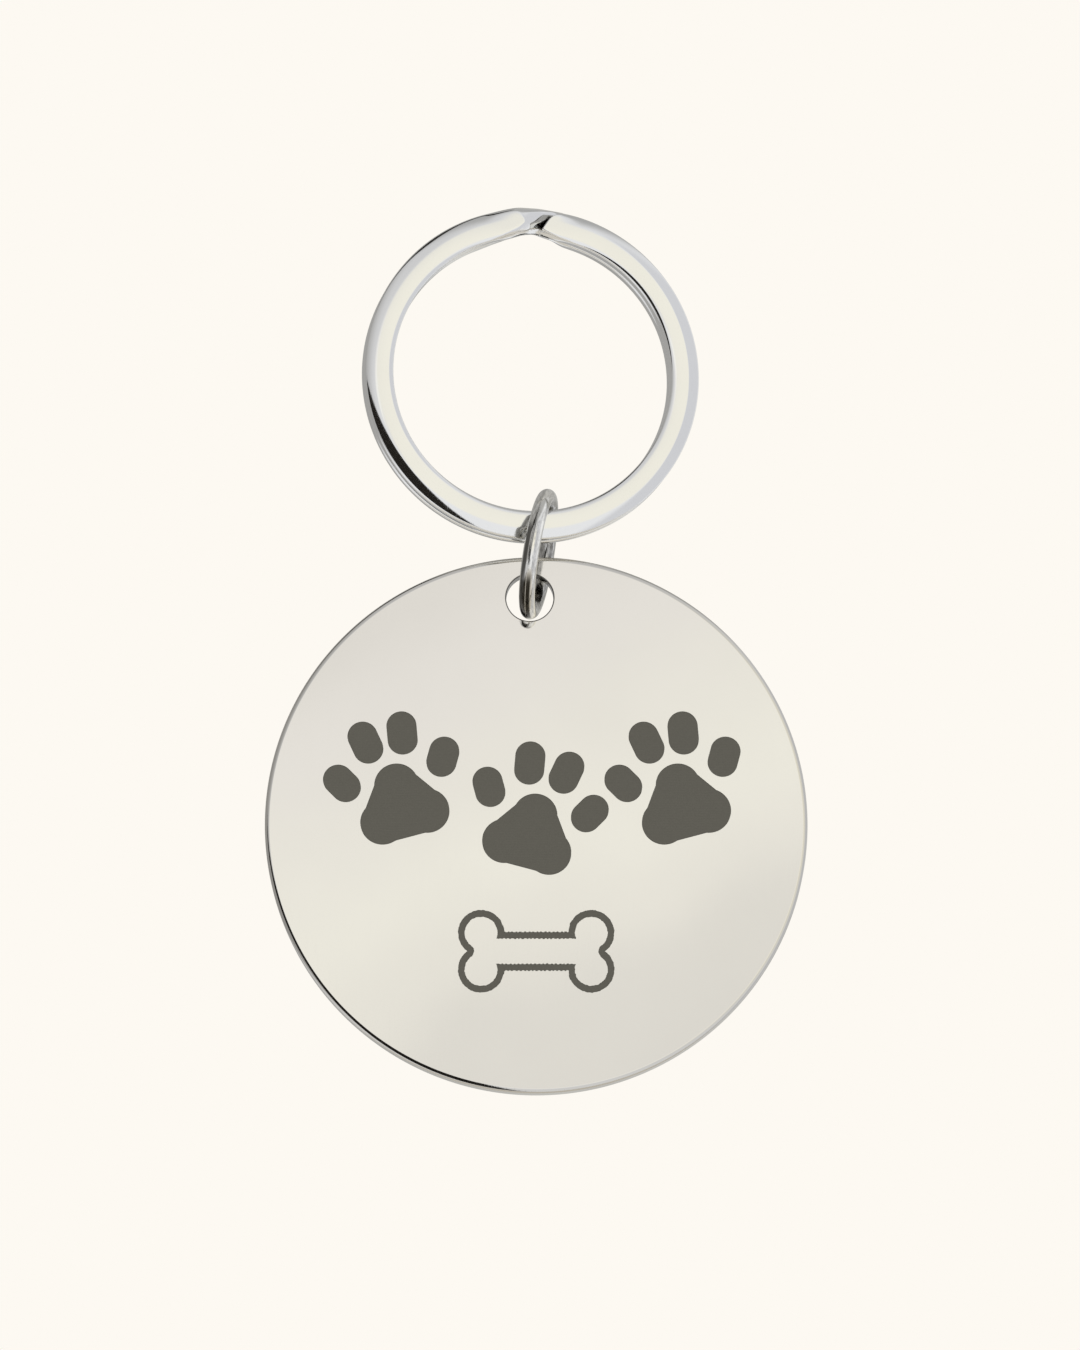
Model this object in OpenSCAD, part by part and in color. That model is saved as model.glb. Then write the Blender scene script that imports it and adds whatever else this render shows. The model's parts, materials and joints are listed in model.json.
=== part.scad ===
// Round pet tag that hangs from a split ring by a plain jump ring.
// Millimetres, +Z up. The origin is the top of the split ring's opening, half way
// through its depth, where the loop of a collar holds it. The engraved face looks
// towards -Y.

/* [Split ring] */
// Outer diameter of the split ring
ring_d = 20; // [16:0.5:30]
// Width of the wire, across the ring's flat face
ring_w = 1.7; // [1.3:0.1:2.2]
// Depth of one of the two layers of wire
ring_layer = 0.92; // [0.86:0.02:1.1]
// Air between the two layers
ring_gap = 0.06; // [0.04:0.02:0.16]
// Rounding of the wire's edges
ring_round = 0.38; // [0.2:0.02:0.42]
// Run along the ring in which the wire steps from the front layer to the rear one
step_run = 1.05; // [0.9:0.05:1.6]
// Width of the wire where it steps
step_w = 1.2; // [1:0.05:1.3]
// Distance of the step below the ring's outer edge
step_drop = 0.1; // [0.06:0.02:0.2]
// Space between the step and each cut end
step_space = 0.14; // [0.08:0.02:0.4]
// Rise of the bore to its peak under the step
peak_rise = 0.38; // [0.2:0.02:0.4]
// Reach of the peak to either side
peak_reach = 3; // [2.6:0.1:3.4]
// Slant of the cut ends, in degrees
cut_slant = 28; // [0:1:40]
// Turn of the split ring about the vertical, in degrees
ring_turn = 8; // [0:1:12]

/* [Jump ring] */
// Outer diameter of the jump ring
link_d = 7.8; // [7.6:0.1:9]
// Diameter of its round wire
link_wire = 0.95; // [0.8:0.05:1]
// Gap between its butted ends
link_seam = 0.06; // [0.04:0.02:0.2]
// Air between the top of its bore and the split ring
link_rest = 0.45; // [0.35:0.05:0.6]
// Distance of its middle to the right of the split ring's middle
link_side = 0.48; // [0:0.02:0.6]
// Lean to the right, in degrees
link_lean = 10; // [0:1:14]
// Turn about the vertical, in degrees
link_turn = 6; // [0:1:8]

/* [Tag disc] */
// Diameter of the tag
tag_d = 32; // [24:1:40]
// Thickness of the tag
tag_t = 1.2; // [1:0.1:1.3]
// Rounding of the tag's rim
tag_round = 0.2; // [0.1:0.05:0.4]
// Diameter of the hole
hole_d = 2.9; // [2.8:0.1:3.4]
// Bevel at both ends of the hole
hole_bevel = 0.08; // [0.04:0.02:0.2]
// Metal left between the hole and the rim
hole_edge = 1; // [0.8:0.1:2]
// Distance of the hole to the left of the tag's middle
hole_side = 0.38; // [0:0.02:0.6]
// Place of the tag on the jump ring, in degrees from its lowest point towards the back
tag_angle = 34; // [33:1:35]

/* [Engraving] */
// Depth of the engraved pockets
mark_depth = 0.1; // [0.06:0.02:0.3]
// How far the dark fill lies below the face
mark_sink = 0.02; // [0.01:0.01:0.04]
// Air between the dark fill and the pocket's walls
mark_gap = 0.01; // [0.01:0.01:0.03]
// Size of one paw print
paw_size = 8; // [5:0.5:9]
// Distance from one paw print to the next
paw_pitch = 8.3; // [7:0.1:10]
// Rise and fall of the paw prints about their row
paw_shift = 0.9; // [0:0.1:2]
// Tilt of each paw print, in degrees
paw_tilt = 15; // [0:1:30]
// Height of the row of paw prints above the tag's middle
paw_height = 1.6; // [0:0.1:4]
// Length of the bone outline from lobe to lobe
bone_length = 9.2; // [6:0.1:12]
// Height of the bone outline
bone_height = 4.9; // [3.6:0.1:6]
// Outer radius of each of its round lobes
bone_lobe = 1.36; // [1.1:0.02:1.6]
// Height of its shaft
bone_shaft = 2.3; // [1.6:0.1:2.6]
// Width of the engraved line
bone_line = 0.4; // [0.2:0.02:0.6]
// Depth of the bone's middle below the tag's middle
bone_drop = 7.6; // [6:0.1:9]

/* [Hidden] */
$fn = 96;
// Overrun of cutting tools past the surface that they cut
overrun = 0.5;

// Split ring
ring_mid = ring_d / 2 - ring_w / 2;
ring_bore = ring_d / 2 - ring_w;
ring_lift = (ring_layer + ring_gap) / 2;
ring_depth = 2 * ring_layer + ring_gap;
ring_z = -ring_bore;
step_slope = atan2(2 * ring_lift, step_run);
step_half = arc_degrees(step_run / 2, ring_mid);
cut_half = arc_degrees(ring_layer / 2 / sin(step_slope) + step_space, ring_mid);

// Jump ring
link_mid = link_d / 2 - link_wire / 2;
link_bore = link_d / 2 - link_wire;
link_z = -2 * ring_bore + link_rest - link_bore * cos(link_lean);
link_pos = [link_side, 0, link_z];
seam_angle = arc_degrees(link_seam, link_mid);
seam_place = 120;

// Where the jump ring's wire passes the tag, and where the tag's hole lies about it,
// as shares of the play between the two
wire_pos = link_pos + link_mid * link_way(tag_angle);
hole_play = (hole_d - link_wire) / 2;
hole_shares = [-0.24, 0.45];
hole_x = wire_pos[0] + hole_shares[0] * hole_play;
hole_z = wire_pos[2] + hole_shares[1] * hole_play;
tag_y = wire_pos[1];
tag_x = hole_x + hole_side;
tag_z = hole_z + hole_d / 2 + hole_edge - tag_d / 2;
face_y = tag_y - tag_t / 2;

// Paw print, as shares of its size: places from its middle, lengths and radii. The
// toes' angles are degrees from upright, outwards.
pad_shares = [[0, -0.03], [-0.17, -0.27], [0.17, -0.27]];
pad_round_share = 0.165;
pad_waist_share = 0.155;
toe_shares = [[0.14, 0.34], [0.385, 0.09]];
toe_length_shares = [0.1, 0.08];
toe_round_share = 0.112;
toe_angles = [10, 30];

// Degrees of turn that a length makes along a circle of radius r
function arc_degrees(length, r) = length / r * 180 / PI;

// Direction from the jump ring's middle to the point on its wire that lies at angle a,
// counted from its lowest point towards the back
function link_way(a) = [
    sin(a) * sin(link_turn) - cos(a) * sin(link_lean) * cos(link_turn),
    sin(a) * cos(link_turn) + cos(a) * sin(link_lean) * sin(link_turn),
    -cos(a) * cos(link_lean)
];

// The wire's section as a flat shape with round corners, at the given width
module wire_section(w) {
    square([w - 2 * ring_round, ring_layer], center = true);
    square([w, ring_layer - 2 * ring_round], center = true);
    for (across = [-1, 1], along = [-1, 1]) {
        translate([across * (w / 2 - ring_round), along * (ring_layer / 2 - ring_round)])
            circle(ring_round);
    }
}

// The front layer: round the ring from the step to its own slanted end
module wire_layer() {
    difference() {
        rotate([0, 0, 90 + step_half])
            rotate_extrude(angle = 360 - step_half - cut_half)
                translate([ring_mid, ring_lift])
                    wire_section(ring_w);
        rotate([0, 0, 90 - cut_half])
            translate([ring_bore, 0, 0])
                rotate([0, 0, -cut_slant])
                    translate([-overrun, 0, -overrun])
                        cube([3 * ring_w, ring_w, ring_depth + overrun]);
    }
}

// The narrower stretch of wire that steps from the front layer to the rear one
module wire_step() {
    intersection() {
        translate([0, ring_d / 2 - step_drop - step_w / 2, 0])
            rotate([0, 90 + step_slope, 0])
                linear_extrude(ring_depth / sin(step_slope), center = true)
                    rotate(90)
                        wire_section(step_w);
        cube([ring_d, 2 * ring_d, ring_depth], center = true);
    }
}

// Roof-shaped cut that lifts the bore to a peak under the step
module bore_peak() {
    foot = sqrt(ring_bore * ring_bore - peak_reach * peak_reach);
    linear_extrude(ring_depth + 2 * overrun, center = true)
        polygon([[-peak_reach, foot], [peak_reach, foot], [0, ring_bore + peak_rise]]);
}

// The rear layer is the front one turned half way round the upright line through the step
module split_ring() {
    color("#d9d9d4")
        rotate([0, 0, ring_turn])
            translate([0, 0, ring_z])
                rotate([90, 0, 0])
                    difference() {
                        union() {
                            wire_step();
                            wire_layer();
                            rotate([0, 180, 0])
                                wire_layer();
                        }
                        bore_peak();
                    }
}

module jump_ring() {
    color("#a3a19b")
        translate(link_pos)
            rotate([0, link_lean, -link_turn])
                rotate([0, 90, 0])
                    rotate([0, 0, seam_place])
                        rotate_extrude(angle = 360 - seam_angle)
                            translate([link_mid, 0])
                                circle(d = link_wire);
}

// The tag before it is drilled and engraved, flat on its middle, with a round rim
module tag_blank() {
    rotate_extrude() {
        translate([0, -tag_t / 2])
            square([tag_d / 2 - tag_round, tag_t]);
        translate([0, tag_round - tag_t / 2])
            square([tag_d / 2, tag_t - 2 * tag_round]);
        for (side = [-1, 1]) {
            translate([tag_d / 2 - tag_round, side * (tag_t / 2 - tag_round)])
                circle(tag_round);
        }
    }
}

// Drill for the hole, with a bevel at both faces
module hole_drill() {
    cylinder(h = tag_t + 2 * overrun, d = hole_d, center = true);
    for (side = [0, 180]) {
        rotate([side, 0, 0])
            translate([0, 0, tag_t / 2 - hole_bevel])
                cylinder(h = 2 * hole_bevel, d1 = hole_d, d2 = hole_d + 4 * hole_bevel);
    }
}

// The paw's pad: three round lobes with slightly drawn-in sides between them
module paw_pad(inset) {
    middles = paw_size * pad_shares;
    polygon(middles);
    for (i = [0:2]) {
        side = middles[(i + 1) % 3] - middles[i];
        translate(middles[i])
            circle(paw_size * pad_round_share - inset);
        translate(middles[i] + side / 2)
            rotate(atan2(side[1], side[0]))
                square([norm(side), 2 * (paw_size * pad_waist_share - inset)], center = true);
    }
}

// One toe: an upright bar with round ends
module paw_toe(length, r) {
    square([2 * r, length], center = true);
    for (end = [-1, 1]) {
        translate([0, end * length / 2])
            circle(r);
    }
}

// One paw print, drawn in by the given amount all round
module paw(inset) {
    paw_pad(inset);
    for (side = [-1, 1], i = [0:1]) {
        translate(paw_size * [side * toe_shares[i][0], toe_shares[i][1]])
            rotate(-side * toe_angles[i])
                paw_toe(paw_size * toe_length_shares[i], paw_size * toe_round_share - inset);
    }
}

// The row of paw prints, tilted and shifted by turns
module paw_row(inset) {
    for (i = [-1:1]) {
        turn = i % 2 == 0 ? -1 : 1;
        translate([i * paw_pitch, paw_height + turn * paw_shift])
            rotate(turn * paw_tilt)
                paw(inset);
    }
}

// A whole bone, smaller all round by the given amount
module bone(inset) {
    square([bone_length - 2 * bone_lobe, bone_shaft - 2 * inset], center = true);
    for (x = [-1, 1], y = [-1, 1]) {
        translate([x * (bone_length / 2 - bone_lobe), y * (bone_height / 2 - bone_lobe)])
            circle(bone_lobe - inset);
    }
}

// The bone's engraved outline, drawn in by the given amount on both sides of its line
module bone_outline(inset) {
    translate([0, -bone_drop])
        difference() {
            bone(inset);
            bone(bone_line - inset);
        }
}

// Carries a flat drawing to the bottom of its pocket in the tag's face
module on_face(height) {
    translate([tag_x, face_y + mark_depth, tag_z])
        rotate([90, 0, 0])
            linear_extrude(height)
                children();
}

module tag_disc() {
    color("#e0ddd3")
        difference() {
            translate([tag_x, tag_y, tag_z])
                rotate([90, 0, 0])
                    tag_blank();
            translate([hole_x, tag_y, hole_z])
                rotate([90, 0, 0])
                    hole_drill();
            on_face(mark_depth + overrun)
                paw_row(0);
            on_face(mark_depth + overrun)
                bone_outline(0);
        }
}

module paw_marks() {
    color("#65625a")
        on_face(mark_depth - mark_sink)
            paw_row(mark_gap);
}

module bone_mark() {
    color("#65625a")
        on_face(mark_depth - mark_sink)
            bone_outline(mark_gap);
}

split_ring();
jump_ring();
tag_disc();
paw_marks();
bone_mark();
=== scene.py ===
import json
import math

import bpy
import numpy as np
from mathutils import Matrix, Vector, geometry, noise


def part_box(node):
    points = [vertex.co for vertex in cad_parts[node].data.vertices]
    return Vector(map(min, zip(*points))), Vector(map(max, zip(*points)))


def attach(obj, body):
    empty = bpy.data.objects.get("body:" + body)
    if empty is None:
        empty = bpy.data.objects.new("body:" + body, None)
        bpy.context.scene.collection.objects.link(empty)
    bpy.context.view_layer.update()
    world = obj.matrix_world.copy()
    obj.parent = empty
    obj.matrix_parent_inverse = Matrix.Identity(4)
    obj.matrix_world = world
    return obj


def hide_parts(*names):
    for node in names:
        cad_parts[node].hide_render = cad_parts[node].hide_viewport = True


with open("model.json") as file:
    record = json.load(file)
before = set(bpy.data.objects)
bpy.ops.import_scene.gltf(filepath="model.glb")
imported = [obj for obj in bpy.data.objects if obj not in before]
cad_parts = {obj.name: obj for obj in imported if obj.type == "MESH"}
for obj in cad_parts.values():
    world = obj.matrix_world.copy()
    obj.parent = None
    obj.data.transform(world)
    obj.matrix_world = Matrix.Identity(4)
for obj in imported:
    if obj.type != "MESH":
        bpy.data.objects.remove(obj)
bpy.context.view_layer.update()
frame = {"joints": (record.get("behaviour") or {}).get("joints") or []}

# Shapes are worked out in millimetres and made in metres
MM = 0.001
TAU = 2 * math.pi

# The camera: below the tag's middle, looking up at it from the front
CAM_RISE = math.radians(10)
CAM_DISTANCE = 500 * MM
CAM_TARGET = Vector((0.56, 1.36, -26.07)) * MM
VIEW_HEIGHT = 79.83 * MM
SENSOR = 36.0


def srgb(r, g, b):
    """Linear colour of an 8-bit one."""
    def one(v):
        v /= 255
        return v / 12.92 if v <= 0.04045 else ((v + 0.055) / 1.055) ** 2.4
    return (one(r), one(g), one(b))


CREAM = srgb(253, 249, 242)


# ---------------------------------------------------------------- node helpers

class Tree:
    """Short ways to make shader nodes in one node tree."""

    def __init__(self, tree):
        self.tree = tree

    def new(self, kind, inputs=(), out=0, **values):
        """One output of a new node, or the node itself where out is None."""
        node = self.tree.nodes.new(kind)
        for name, value in values.items():
            setattr(node, name, value)
        for name, value in dict(inputs).items():
            self.feed(node.inputs[name], value)
        return node.outputs[out] if out is not None else node

    def feed(self, socket, value):
        """Links an output to the socket, or sets the socket to a plain value."""
        if isinstance(value, bpy.types.NodeSocket):
            self.tree.links.new(value, socket)
        else:
            socket.default_value = value

    def math(self, operation, *values):
        return self.new("ShaderNodeMath", dict(enumerate(values)), operation=operation)

    def times(self, a, b):
        return self.math("MULTIPLY", a, b)

    def vector(self, operation, *values, out=0, scale=None):
        inputs = dict(enumerate(values))
        if scale is not None:
            inputs["Scale"] = scale
        return self.new("ShaderNodeVectorMath", inputs, out, operation=operation)

    def smooth(self, value, low, high):
        """0 where the value is low and 1 where it is high, with a smooth change between."""
        return self.new("ShaderNodeMapRange", {0: value, 1: low, 2: high},
                        interpolation_type="SMOOTHSTEP")

    def linear(self, value, low, high, to_low=0.0, to_high=1.0):
        """The value, mapped from one range to another and held at its ends."""
        return self.new("ShaderNodeMapRange", {0: value, 1: low, 2: high, 3: to_low, 4: to_high})

    def mix(self, share, a, b):
        """Colour a, and b by its share."""
        node = self.new("ShaderNodeMix", out=None, data_type="RGBA")
        for name, value in (("Factor_Float", share), ("A_Color", a), ("B_Color", b)):
            socket = next(s for s in node.inputs if s.identifier == name)
            if not isinstance(value, bpy.types.NodeSocket) and name != "Factor_Float":
                value = (*value[:3], 1)
            self.feed(socket, value)
        return next(s for s in node.outputs if s.identifier == "Result_Color")

    def noise(self, vector, scale, detail, roughness):
        return self.new("ShaderNodeTexNoise", {"Vector": vector, "Scale": scale, "Detail": detail,
                                               "Roughness": roughness})

    def bump(self, height, strength, distance, **more):
        """A bumped normal, with the distance in metres."""
        return self.new("ShaderNodeBump", {"Strength": strength, "Distance": distance,
                                           "Height": height, **more})


def material(name):
    """A new material, its node helper and its Principled shader."""
    mat = bpy.data.materials.new(name)
    mat.use_nodes = True
    return mat, Tree(mat.node_tree), mat.node_tree.nodes["Principled BSDF"]


# ---------------------------------------------------------------- mesh helpers

def make_piece(name, points, faces, mat, body, slot, replaced, normals=None, uv=None):
    """A mesh piece from points in millimetres, with its material, body and replaced node. The slot
    is not used.
    """
    me = bpy.data.meshes.new(name)
    corners = [list(map(int, face)) for face in faces]
    me.from_pydata((np.asarray(points, float) * MM).tolist(), [], corners)
    me.polygons.foreach_set("use_smooth", [True] * len(me.polygons))
    if uv is not None:
        layer = me.uv_layers.new(name="along")
        layer.data.foreach_set("uv", np.asarray(uv, np.float32).ravel())
    me.validate()
    me.update()
    if normals is not None:
        me.normals_split_custom_set([tuple(n) for n in normals])
    me.materials.append(mat)
    ob = bpy.data.objects.new(name, me)
    bpy.context.scene.collection.objects.link(ob)
    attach(ob, body)
    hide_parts(replaced)
    return ob


def grid_faces(rows, columns, start=0, flip=False):
    """Quads between rows of points, each row a closed loop."""
    faces = []
    for i in range(rows - 1):
        for j in range(columns):
            a = start + i * columns + j
            b = start + i * columns + (j + 1) % columns
            c, d = b + columns, a + columns
            faces.append((a, d, c, b) if flip else (a, b, c, d))
    return faces


def tube_faces(rows, columns, flip=False):
    """Quads of a tube and one face on each of its ends."""
    first = tuple(range(columns))
    last = tuple((rows - 1) * columns + j for j in first)
    ends = [first, last[::-1]] if flip else [first[::-1], last]
    return grid_faces(rows, columns, flip=flip) + ends


def tube_uv(faces, columns, run):
    """For each corner its row's length along the tube, in millimetres, and its share round it."""
    return [(run[v // columns], (v % columns) / columns) for face in faces for v in face]


def end_shrink(from_end, size):
    """How far a wire's surface draws in near its cut end, whose edge is rounded to this size."""
    close = max(0.0, 1 - from_end / size)
    return size * (1 - math.sqrt(max(0.0, 1 - close * close)))


def smoothstep(x):
    """0 below 0 and 1 above 1, with a smooth change between."""
    x = np.clip(x, 0, 1)
    return x * x * (3 - 2 * x)


def ramp(x, soft):
    """0 below 0 and 1 above 1, straight between, with softened corners."""
    def bend(v):
        return 0.5 * (v + np.sqrt(v * v + soft * soft))
    return bend(x) - bend(x - 1)


def above(x, soft):
    """x where it is well above 0, and 0 where it is well below, with a soft corner."""
    return 0.5 * (x + np.sqrt(x * x + soft * soft))


# ---------------------------------------------------------------- split ring

RING_OUT, RING_IN = 10.0, 8.3
RING_WIDE, RING_LAYER, RING_GAP = 1.7, 0.92, 0.06
RING_MIDDLE = (RING_OUT + RING_IN) / 2
RING_PITCH = RING_LAYER + RING_GAP                           # from one layer to the other
RING_Z, RING_TURN = -8.3, math.radians(8)
STEP_RUN, STEP_SPACE = 1.05, 0.14                            # these place the cut ends
PEAK_RISE, PEAK_REACH, PEAK_SOFT = 0.34, 3.0, 0.02           # the opening's peak below the step

# The mesh: columns over half the section, rows along the wire, and how many more near the cut
# ends and the step, within so many radians
HALF_COLUMNS, WIRE_ROWS, NEAR_ROWS, NEAR_ANGLE = 56, 480, 200, 0.3

# Half of the wire's section, from its outer equator over the face to the inner one: each leg's
# first and last heading in degrees, and its length
SECTION_LEGS = [(90, 90, 0.165), (90, 52, 0.06), (52, 25, 0.07), (25, 14, 0.5), (14, 3, 0.13),
                (3, -3, 0.64), (-3, -28, 0.285), (-28, -90, 0.12), (-90, -90, 0.3)]
SECTION_STEP, BEND_WEIGHT = 0.004, 0.5
BLUNT_SIDE, BLUNT_FACE = 7, 2.2                              # powers of the fuller section
BLUNT_REACH, BLUNT_FADE = 2.9, 2.0

# The way down the step. Runs are arc lengths past the step's middle, and u goes from -1 at the
# wire's inner edge to 1 at its outer one
LEAVE_RUN, LEAVE_OUTER, LEAVE_INNER = -0.42, 0.62, 1.0
REACH_RUN, REACH_LEAN = 0.93, 0.5
FALL_SOFT, FALL_EVEN, FALL_STEEP = 0.06, 0.62, 0.38
WALL_RUN, WALL_SHARE = 1.5, 0.8

# The bevel of the face's inner edge, towards the step and at the cut end
BEVEL_SLOPE, BEVEL_REACH, BEVEL_GROWTH, BEVEL_END, BEVEL_FADE = 0.40, 3.0, 2.7, 0.1, 1.6
BEVEL_CREASE, BEVEL_CREASE_GROWTH = -0.9, 0.75
CUT_BEVEL_SLOPE, CUT_BEVEL_RUN, CUT_BEVEL_FADE = 1.1, 1.5, 0.4
CUT_CREASE, CUT_CREASE_GROWTH = -1.04, 0.5

# The cut ends: slanted, with a rounded outer corner, undercut, and a little twisted
CUT_SLANT, SLANT_REACH = math.radians(28), 1.6
CUT_CORNER, CORNER_REACH = 0.26, 0.8
CUT_UNDER, UNDER_REACH = 0.22, 0.6
END_ROUND, END_TWIST, TWIST_RUN, TWIST_REACH = 0.06, 0.075, 0.9, 3.2

# The swell of the outer edge at the step, and the rise of the inner edge past it and of the
# rear layer's end
STEP_SWELL, SWELL_REACH, SWELL_GROWTH = 0.15, 2.6, 2.2
LATE_SWELL, LATE_RUN, SWELL_END, SWELL_FADE = 0.06, 1.5, 1.7, 0.8
STEP_RISE, RISE_END = 0.14, 2.4
REAR_RISE, REAR_REACH = 0.2, 2.8

# The painted shade in the step's corner, a dark wedge: its edge at u = 0, how that leans, and its
# half width
SHADE_WEDGE_RUN, SHADE_WEDGE_LEAN, SHADE_WEDGE_HALF = 0.62, 0.58, 0.62


def ring_section(count):
    """Points along half of the wire's section, closer together where it bends."""
    path = [(0.0, 0.0)]
    walked = [0.0]
    for start, end, length in SECTION_LEGS:
        n = max(4, round(length / SECTION_STEP))
        for k in range(n):
            heading = math.radians(start + (end - start) * (k + 0.5) / n)
            x, y = path[-1]
            path.append((x - math.cos(heading) * length / n, y + math.sin(heading) * length / n))
            bend = BEND_WEIGHT * math.radians(abs(end - start)) / n
            walked.append(walked[-1] + length / n + bend)
    path = np.array(path)
    path[:, 0] = RING_WIDE * (0.5 + path[:, 0] / -path[:, 0].min())
    path[:, 1] = path[:, 1] * RING_LAYER / 2 / path[:, 1].max()
    path[-1, 1] = 0
    even = np.linspace(0, walked[-1], count)
    return [np.interp(even, walked, path[:, 0]), np.interp(even, walked, path[:, 1])]


def step_depth(run, u):
    """How far the wire's front face lies behind the front layer. It dips at a round tip and
    steepens to the cut end."""
    first = (LEAVE_RUN - LEAVE_OUTER * above(u + 0.05, 0.15) ** 1.6
             - LEAVE_INNER * above(-u - 0.15, 0.08))
    last = REACH_RUN + REACH_LEAN * u
    t = ramp((run - first) / (last - first), FALL_SOFT)
    return RING_PITCH * (FALL_EVEN * t + FALL_STEEP * t ** 3)


def edge_bevel(run, end, u):
    """Extra depth of the face's inner edge at a run and an arc length from the cut end."""
    near = np.clip((run + BEVEL_REACH) / BEVEL_GROWTH, 0, 1)
    crease = BEVEL_CREASE + BEVEL_CREASE_GROWTH * near ** 1.8
    to_step = BEVEL_SLOPE * above(crease - u, 0.05) * smoothstep(2 * near)
    to_step = to_step * smoothstep((BEVEL_END - run) / BEVEL_FADE)
    crease = CUT_CREASE + CUT_CREASE_GROWTH * np.clip(1 - end / CUT_BEVEL_RUN, 0, 1)
    to_cut = CUT_BEVEL_SLOPE * above(crease - u, 0.03)
    return to_step + to_cut * smoothstep((CUT_BEVEL_RUN - end) / CUT_BEVEL_FADE)


def ring_angles(start, step, turn):
    """The angle of each row of the wire, from the front layer's cut end to the rear one's."""
    near = [centre + np.linspace(-NEAR_ANGLE, NEAR_ANGLE, NEAR_ROWS)
            for centre in (start, step, start - turn)]
    even = start - turn * np.linspace(0, 1, WIRE_ROWS)
    a = np.unique(np.round(np.concatenate([even, *near]), 9))[::-1]
    return a[(a <= start) & (a >= start - turn)]


def opening_radius(top, past_step, from_rear):
    """The radius of the wire's inner edge, at angles from the opening's top."""
    foot = math.sqrt(RING_IN ** 2 - PEAK_REACH ** 2)
    peak = RING_IN + PEAK_RISE
    roof = peak / (np.cos(top) + (peak - foot) / PEAK_REACH
                   * np.sqrt(np.sin(top) ** 2 + PEAK_SOFT ** 2))
    under_roof = np.abs(top) < math.asin(PEAK_REACH / RING_IN)
    inner = np.where(under_roof, np.maximum(RING_IN, roof), RING_IN)
    inner = inner + REAR_RISE * smoothstep(1 - from_rear / REAR_REACH)
    return inner + (STEP_RISE * smoothstep((past_step + 0.2) / 0.7)
                    * smoothstep((RISE_END - past_step) / 1.2))


def split_ring():
    """The points, faces and uv of the split ring's wire, and the painted crease shade on each
    point.
    """
    lift = RING_PITCH / 2
    slope = math.atan2(2 * lift, STEP_RUN)
    cut_half = (RING_LAYER / 2 / math.sin(slope) + STEP_SPACE) / RING_MIDDLE
    turn = 2 * TAU - 2 * cut_half
    start, step = math.pi / 2 - cut_half, math.pi / 2 - TAU
    a = ring_angles(start, step, turn)
    # arc lengths past the step's middle, from each cut end and from the nearer one
    past_step = (step - a) * RING_MIDDLE
    from_front, from_rear = (a[0] - a) * RING_MIDDLE, (a - a[-1]) * RING_MIDDLE
    ends = np.minimum(from_front, from_rear)
    top = np.arctan2(np.sin(a - math.pi / 2), np.cos(a - math.pi / 2))
    inner = opening_radius(top, past_step, from_rear)

    # the whole section: its front half, then its back half
    half_x, half_y = ring_section(HALF_COLUMNS)
    x0 = np.concatenate([half_x, half_x[-2:0:-1]])
    y0 = np.concatenate([-half_y, half_y[-2:0:-1]])
    in_front = np.arange(len(x0)) < HALF_COLUMNS
    u = x0 / (RING_WIDE / 2)
    face_y = RING_LAYER / 2
    blunt = np.sign(y0) * face_y * (1 - np.abs(u) ** BLUNT_SIDE) ** (1 / BLUNT_FACE)
    share = np.clip(np.abs(y0) / (WALL_SHARE * face_y), 0, 1)
    on_face = np.abs(y0) > 0.6 * face_y

    rows, columns = len(a), len(x0)
    points = np.zeros((rows, columns, 3))
    crease_shade = np.zeros((rows, columns))
    for i in range(rows):
        run, from_top = past_step[i], top[i] * RING_MIDDLE
        shrink = end_shrink(ends[i], END_ROUND)
        x = x0 * ((RING_OUT - inner[i]) / RING_WIDE - 2 * shrink / RING_WIDE)
        # the face is flatter and fuller where the wire nears the step
        full = float(smoothstep((BLUNT_REACH - abs(from_top)) / BLUNT_FADE))
        y = (y0 + (blunt - y0) * full) * (1 - 2 * shrink / RING_LAYER)
        # the faces follow the step's own shape, which fades out on the side walls
        front = step_depth(run, u) + edge_bevel(run, from_front[i], u)
        back = step_depth(-run, u) + edge_bevel(-run, from_rear[i], u)
        wall = RING_PITCH * ramp(run / WALL_RUN + 0.5, FALL_SOFT)
        depth = wall - lift + share * np.where(in_front, front - wall, 2 * lift - wall - back)
        # the wire is a little twisted where it nears the step
        layer = 1 - 2 * smoothstep(run / TWIST_RUN + 0.5)
        y = y + x * layer * END_TWIST * math.exp(-(from_top / TWIST_REACH) ** 2)
        # the cut end
        side = 1 if from_front[i] < from_rear[i] else -1
        slant = x * math.tan(CUT_SLANT) * smoothstep(1 - ends[i] / SLANT_REACH)
        corner = (CUT_CORNER * smoothstep((u - 0.1) / 0.9) ** 2
                  * smoothstep(1 - ends[i] / CORNER_REACH))
        under = (CUT_UNDER * (0.5 + side * y / RING_LAYER)
                 * smoothstep(1 - ends[i] / UNDER_REACH))
        angle = a[i] - side * (slant + corner + under) / RING_MIDDLE
        # the swell at the step
        swell = (STEP_SWELL * smoothstep((run + SWELL_REACH) / SWELL_GROWTH)
                 + LATE_SWELL * np.clip(run, 0, LATE_RUN))
        r = ((RING_OUT + inner[i]) / 2 + x
             + swell * above(u, 0.1) * (1 - smoothstep((run - SWELL_END) / SWELL_FADE)))
        points[i] = np.stack([r * np.cos(angle), depth + y, r * np.sin(angle)], 1)
        # painted shade, dark in the corner where the step passes a cut end
        passed = np.where(in_front, run, -run)
        wedge = smoothstep((passed - SHADE_WEDGE_RUN - SHADE_WEDGE_LEAN * u) / 0.08) * (passed < 2)
        crease_shade[i] = wedge * smoothstep((SHADE_WEDGE_HALF - np.abs(u)) / 0.12) * on_face

    x, y, z = points.reshape(-1, 3).T
    c, s = math.cos(RING_TURN), math.sin(RING_TURN)
    placed = np.stack([x * c - y * s, x * s + y * c, z + RING_Z], 1)
    faces = tube_faces(rows, columns)
    return placed, faces, tube_uv(faces, columns, from_front), crease_shade.ravel()


# ---------------------------------------------------------------- jump ring

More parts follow.
